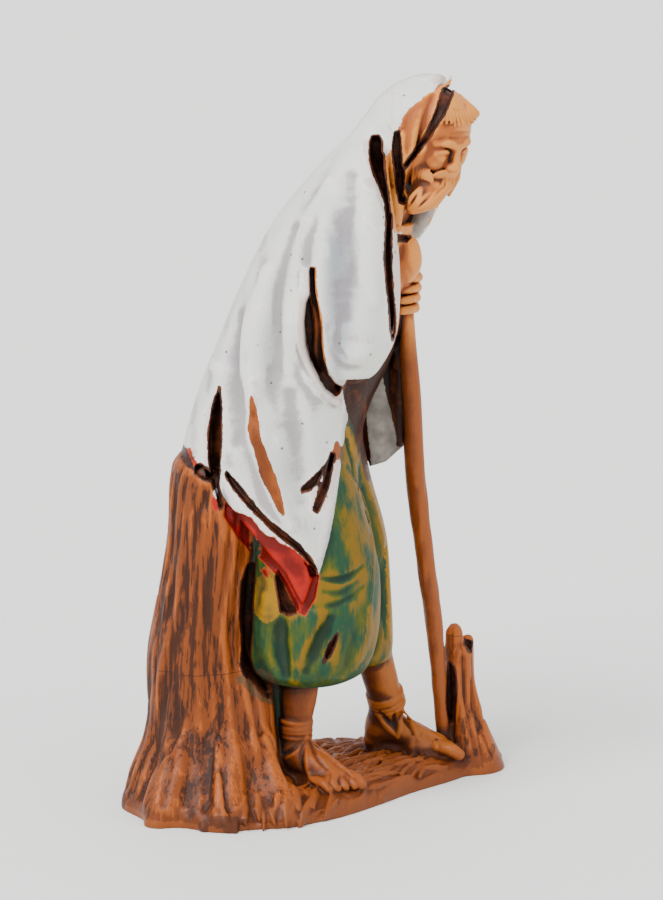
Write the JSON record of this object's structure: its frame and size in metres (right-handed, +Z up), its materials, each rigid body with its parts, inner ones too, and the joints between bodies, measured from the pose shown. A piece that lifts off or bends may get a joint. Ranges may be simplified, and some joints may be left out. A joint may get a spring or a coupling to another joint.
{
  "type": "shepherd figurine",
  "caption": "Moulded and painted figurine of an old shepherd in a hooded cloak, resting against a tree stump and leaning on a staff, on its own ground.",
  "frame": {"origin": "on the flat underside of the ground, under its middle", "axes": "+Z up, +X the way that the man faces, -Y the side that the figure shows to the viewer"},
  "size_m": [0.0537, 0.041, 0.0998],
  "materials": {
    "painted_figure": "terracotta-coloured moulded plastic with a dark brown wash, hand painted: off-white cloak, brick-red lining, green and ochre trousers, satin sheen"
  },
  "bodies": {
    "root": {"shepherd_figure": "painted_figure"}
  },
  "joints": []
}
